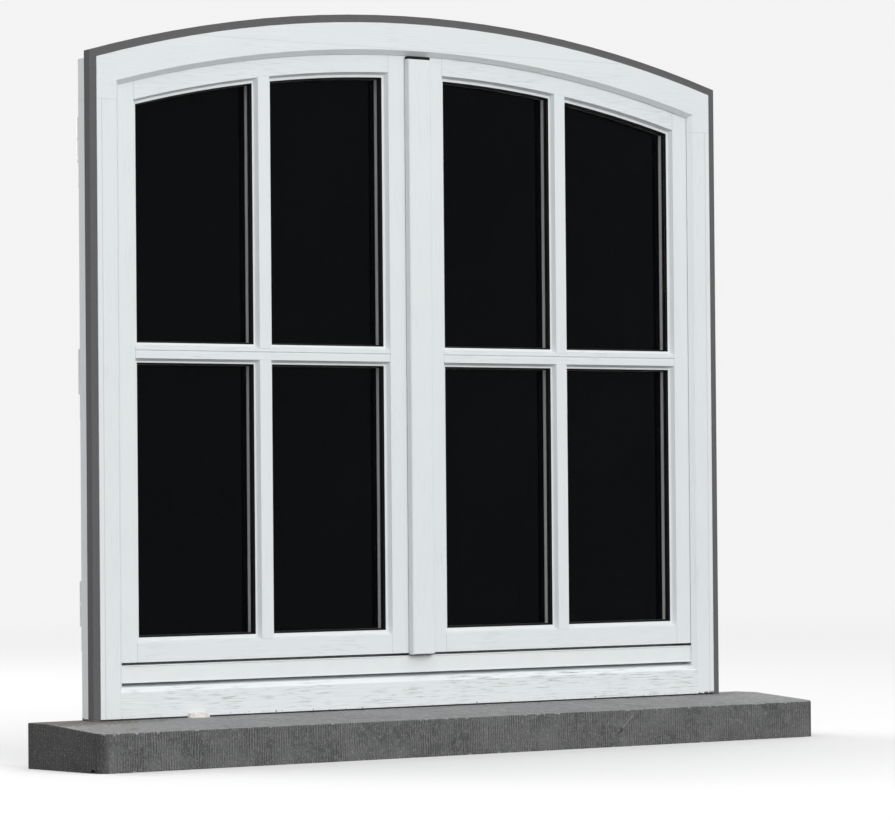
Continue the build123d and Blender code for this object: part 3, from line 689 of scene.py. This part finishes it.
def cut_slot(shape, top, radius):
    """Split the top faces along both sides of the slot and push the strip between them down."""
    half_width = radius * SLOT_HALF_WIDTH
    for offset, normal in ((half_width, 1), (-half_width, -1)):
        region = set(top) | {edge for f in top for edge in f.edges} | {v for f in top for v in f.verts}
        cut = bmesh.ops.bisect_plane(
            shape, geom=list(region), plane_co=(0, offset, 0), plane_no=(0, normal, 0), dist=0.0000001
        )
        top = [f for f in set(cut["geom"]) if isinstance(f, bmesh.types.BMFace)]
    strip = [f for f in top if abs(f.calc_center_median().y) < half_width]
    sunk = bmesh.ops.extrude_face_region(shape, geom=strip)["geom"]
    floor = [item for item in sunk if isinstance(item, bmesh.types.BMVert)]
    bmesh.ops.translate(shape, verts=floor, vec=(0, 0, -radius * SLOT_DEPTH))


def screw_head(shape, place, facing, radius, slot_turn):
    """Add one slotted screw head to a shape."""
    first = len(shape.verts)
    ring = bmesh.ops.create_circle(shape, cap_ends=True, segments=HEAD_SIDES, radius=radius)
    face = ring["verts"][0].link_faces[0]
    raised = bmesh.ops.extrude_face_region(shape, geom=[face])["geom"]
    top = [item for item in raised if isinstance(item, bmesh.types.BMFace)]
    corners = [item for item in raised if isinstance(item, bmesh.types.BMVert)]
    bmesh.ops.translate(shape, verts=corners, vec=(0, 0, radius * HEAD_RISE))
    bmesh.ops.inset_region(shape, faces=top, thickness=radius * HEAD_RIM, depth=radius * HEAD_RISE)
    cut_slot(shape, top, radius)
    shape.verts.ensure_lookup_table()
    mine = shape.verts[first:]
    turned = Vector(facing).to_track_quat("Z", "Y").to_matrix() @ Matrix.Rotation(slot_turn, 3, "Z")
    bmesh.ops.rotate(shape, verts=mine, cent=(0, 0, 0), matrix=turned)
    bmesh.ops.translate(shape, verts=mine, vec=place)


def screws(name, body, places, facing, radius):
    """One piece with a screw head at each place."""
    shape = bmesh.new()
    for number, place in enumerate(places):
        screw_head(shape, place, facing, radius, FIRST_SLOT_TURN + NEXT_SLOT_TURN * number)
    finish_piece(name, shape, steel, body)


# %% Screws of the hinges
HINGE_LEVELS = (0.2505, 0.6105, 0.9705)
FROM_KNUCKLE = (0.046, 0.065)
HINGE_SCREW = 0.0034
HINGE_PLATE = 0.0025
FRAME_PLATE_X = 0.6192
LEAF_PLATE_X = 0.6125
LEAF_PLATE_Y = 0.060

for leaf, side in (("left", -1), ("right", 1)):
    x, y = side * FRAME_PLATE_X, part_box(f"{leaf}_frame_hinges")[0].y + HINGE_PLATE
    places = [(x, y, level - drop) for level in HINGE_LEVELS for drop in FROM_KNUCKLE]
    screws(f"{leaf}_frame_hinge_screws", "frame", places, (0, 1, 0), HINGE_SCREW)
    x, y = side * LEAF_PLATE_X, LEAF_PLATE_Y
    places = [(x, y, level + rise) for level in HINGE_LEVELS for rise in FROM_KNUCKLE]
    screws(f"{leaf}_leaf_hinge_screws", f"{leaf}_leaf", places, (side, 0, 0), HINGE_SCREW)

# %% Screws of the bolt work
GUIDE_HALF_HEIGHT = 0.007
GUIDE_FROM_CASE = 0.062
GUIDE_PLATE, GUIDE_SCREW, GUIDE_SCREW_X = 0.002, 0.0027, 0.0137
CASE_SCREW, CASE_SCREW_X, CASE_SCREW_Z = 0.0030, 0.0095, 0.012
KEEP_SCREW, KEEP_SCREW_X, KEEP_SCREW_Z = 0.0030, 0.0147, 0.0095
KEEP_PLATE = 0.003
strip_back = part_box("inside_cover_strip")[1].y
guides_low, guides_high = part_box("bolt_guides")
case_low, case_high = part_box("bolt_case")
keeps_low, keeps_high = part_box("bolt_keeps")


def first_middle_last(first, last):
    """Three heights with equal steps."""
    return [first, (first + last) / 2, last]


lower_guides = (guides_low.z + GUIDE_HALF_HEIGHT, case_low.z - GUIDE_FROM_CASE - GUIDE_HALF_HEIGHT)
upper_guides = (case_high.z + GUIDE_FROM_CASE + GUIDE_HALF_HEIGHT, guides_high.z - GUIDE_HALF_HEIGHT)
heights = first_middle_last(*lower_guides) + first_middle_last(*upper_guides)
places = [(x, strip_back + GUIDE_PLATE, z) for z in heights for x in (-GUIDE_SCREW_X, GUIDE_SCREW_X)]
screws("guide_screws", "left_leaf", places, (0, 1, 0), GUIDE_SCREW)

heights = (case_low.z + CASE_SCREW_Z, case_high.z - CASE_SCREW_Z)
places = [(x, case_high.y, z) for z in heights for x in (-CASE_SCREW_X, CASE_SCREW_X)]
screws("case_screws", "left_leaf", places, (0, 1, 0), CASE_SCREW)

heights = (keeps_low.z + KEEP_SCREW_Z, keeps_high.z - KEEP_SCREW_Z)
places = [(x, keeps_low.y + KEEP_PLATE, z) for z in heights for x in (-KEEP_SCREW_X, KEEP_SCREW_X)]
screws("keep_screws", "frame", places, (0, 1, 0), KEEP_SCREW)

# %% Fixing screws of the jambs
FIXING_LEVELS = (0.2205, 0.9205)
FIXING_SCREW, FIXING_X, FIXING_Y = 0.0060, 0.6055, 0.030

for jamb, side in (("left", -1), ("right", 1)):
    places = [(side * FIXING_X, FIXING_Y, level) for level in FIXING_LEVELS]
    screws(f"{jamb}_fixing_screws", "frame", places, (-side, 0, 0), FIXING_SCREW)

# %% [markdown]
# ## Caps on the outside cover strip
#
# To keep water out of the strip's end grain, a black moulded cap closes it at the top, just under the head,
# and a thinner one at the foot, just over the rain bar. Their black is partly painted shade: it darkens the
# gaps between the strip and the head and between the strip and the rain bar. Each starts as a block whose
# free edges are rounded. The upper one's top is inset and pressed down, which leaves a rim like that of a
# moulded part.

# %% Strip caps
TOP_CAP_HEIGHT = 0.0046
FOOT_CAP_HEIGHT = 0.0010
CAP_INSET = 0.0006
CAP_RIM = 0.0010
CAP_DISH = 0.0006
strip_low, strip_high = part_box("outside_cover_strip")


def end_cap(shape, z_middle, height, rounding):
    """Add a block under or over the strip, with its upright and free edges rounded."""
    made = bmesh.ops.create_cube(shape, size=1.0)["verts"]
    width = strip_high.x - strip_low.x - 2 * CAP_INSET
    depth = strip_high.y - strip_low.y - 2 * CAP_INSET
    bmesh.ops.scale(shape, vec=(width, depth, height), verts=made)
    toward_strip = -1 if z_middle > strip_high.z else 1
    edges = {edge for corner in made for edge in corner.link_edges}
    free = [edge for edge in edges if any(corner.co.z * toward_strip < 0 for corner in edge.verts)]
    bmesh.ops.translate(shape, verts=made, vec=(0.0, (strip_low.y + strip_high.y) / 2, z_middle))
    bmesh.ops.bevel(shape, geom=free, offset=rounding, segments=3, profile=0.5, affect="EDGES", material=-1)


# The black of both caps also paints the shade in the gaps above and below the strip.
shape = bmesh.new()
end_cap(shape, strip_high.z + TOP_CAP_HEIGHT / 2, TOP_CAP_HEIGHT, 0.0012)
top = [max(shape.faces, key=lambda face: face.calc_center_median().z)]
bmesh.ops.inset_region(shape, faces=top, thickness=CAP_RIM, depth=-CAP_DISH)
end_cap(shape, strip_low.z - FOOT_CAP_HEIGHT / 2, FOOT_CAP_HEIGHT, 0.0003)
finish_piece("strip_shade_caps", shape, black_rubber, "right_leaf")

# %% [markdown]
# ## A crumb of mortar on the sill
#
# A lump of old pointing mortar is stuck at the foot of the frame, near its left end. It is a subdivided
# block whose skin is pushed in and out by a few sine waves of unequal length, which gives it a broken
# surface. It tapers upwards and towards its ends, and a last smoothing takes the sharpness off.


# %% Mortar
def mortar():
    crumb = Finish("mortar")
    sand = crumb.noise(900.0, 3.0, 0.7)
    stain = crumb.noise(120.0, 3.0, 0.6)
    pale = crumb.blend(stain, (0.70, 0.68, 0.65, 1), (0.84, 0.83, 0.82, 1))
    colour = crumb.blend(crumb.rise(sand, 0.5, 0.7), pale, (0.42, 0.38, 0.32, 1))
    crumb.shade({"Base Color": colour, "Roughness": 0.95, "Specular IOR Level": 0.2})
    crumb.emboss(sand, 0.8, 0.0008)
    return crumb.material


# %% Mortar crumb
CRUMB_LENGTH, CRUMB_DEPTH, CRUMB_HEIGHT = 0.038, 0.009, 0.0085
CRUMB_PLACE = (-0.4475, -0.0042, 0.0738)
shape = bmesh.new()
bmesh.ops.create_cube(shape, size=1.0)
bmesh.ops.subdivide_edges(shape, edges=shape.edges, cuts=9, use_grid_fill=True)
for corner in shape.verts:
    x, y, z = corner.co
    rough = 0.10 * math.sin(9.0 * x + 3.0 * z) + 0.08 * math.sin(17.0 * x - 6.0 * y)
    rough += 0.06 * math.sin(23.0 * z + 11.0 * x)
    shorter = 1.0 - 0.12 * (z + 0.5)
    thinner = 1.0 - 0.30 * (z + 0.5) - 0.25 * abs(x)
    corner.co = Vector(
        (x * shorter * CRUMB_LENGTH, (y + rough) * thinner * CRUMB_DEPTH, (z + 0.5 * rough) * CRUMB_HEIGHT)
    )
bmesh.ops.smooth_vert(shape, verts=shape.verts, factor=0.5, use_axis_x=True, use_axis_y=True, use_axis_z=True)
bmesh.ops.translate(shape, verts=shape.verts, vec=CRUMB_PLACE)
finish_piece("mortar_crumb", shape, mortar(), "frame")

# %% [markdown]
# ## Studio
#
# The window stands on a pale floor under a soft sky, brighter overhead than near the ground, as on the
# overcast day of the picture. The floor fades to white in the distance, so that no horizon crosses the
# picture. Seen directly, in gloss or through glass, floor and sky are pale, but the light that they throw
# on the window is chosen by itself, so that white paint keeps its shades.

# %% Floor
FLOOR_RADIUS = 60.0
FADE = (2.0, 9.0)
PALE = 0.9


def is_seen(recipe):
    """Mask of rays that show a surface itself, and not only its light on other things."""
    paths = recipe.add("ShaderNodeLightPath").outputs
    return recipe.largest(paths["Is Camera Ray"], paths["Is Glossy Ray"], paths["Is Transmission Ray"])


def floor_material():
    ground = Finish("studio_floor")
    distance = ground.add("ShaderNodeVectorMath", {0: ground.place}, operation="LENGTH").outputs["Value"]
    seen = is_seen(ground)
    colour = ground.blend(seen, grey(0.10), grey(0.80))
    ground.shade({"Base Color": colour, "Roughness": 0.9, "Specular IOR Level": 0.1})
    white = ground.add("ShaderNodeEmission", {"Color": grey(PALE), "Strength": 1.0})
    fade = ground.times(ground.rise(distance, *FADE), seen)
    mixed = ground.add("ShaderNodeMixShader", {0: fade, 1: ground.shader.outputs[0], 2: white.outputs[0]})
    ground.feed(ground.tree.nodes["Material Output"].inputs[0], mixed.outputs[0])
    return ground.material


floor_mesh = bpy.data.meshes.new("studio_floor")
shape = bmesh.new()
bmesh.ops.create_circle(shape, cap_ends=True, segments=96, radius=FLOOR_RADIUS)
shape.to_mesh(floor_mesh)
shape.free()
floor = bpy.data.objects.new("studio_floor", floor_mesh)
floor_mesh.materials.append(floor_material())
bpy.context.scene.collection.objects.link(floor)
print("floor", 2 * FLOOR_RADIUS, "m wide")

# %% Sky
world = bpy.data.worlds.new("soft_sky")
bpy.context.scene.world = world
world.use_nodes = True
sky = Recipe(world.node_tree)
height = sky.parts(sky.add("ShaderNodeTexCoord").outputs["Generated"])[2]
inputs = {"Value": height, "From Min": -0.2, "To Min": 0.70, "To Max": 1.15}
level = sky.add("ShaderNodeMapRange", inputs).outputs[0]
light = sky.add("ShaderNodeCombineXYZ", {0: level, 1: level, 2: level}).outputs[0]
colour = sky.blend(is_seen(sky), light, grey(PALE))
sky.feed(world.node_tree.nodes["Background"].inputs["Color"], colour)
print("sky", len(world.node_tree.nodes), "nodes")

# %% [markdown]
# ## Lamps
#
# A large soft lamp on the street side gives the mouldings their quiet shading, and a weaker one on the
# other side keeps the bolt work readable from behind.


# %% Lamps
def softbox(name, place, size, power, target=(0, 0, 0.6)):
    """Large square lamp that shines at the middle of the window."""
    lamp = bpy.data.lights.new(name, "AREA")
    lamp.shape = "SQUARE"
    lamp.size = size
    lamp.energy = power
    holder = bpy.data.objects.new(name, lamp)
    aim = Vector(target) - Vector(place)
    holder.matrix_world = Matrix.Translation(place) @ aim.to_track_quat("-Z", "Y").to_matrix().to_4x4()
    bpy.context.scene.collection.objects.link(holder)
    print(name, power, "W")


softbox("street_light", place=(-0.3, -4.8, 2.1), size=3.2, power=125.0)
softbox("room_light", place=(-1.6, 4.0, 2.4), size=2.5, power=70.0)
bpy.context.scene.view_settings.view_transform = "Standard"
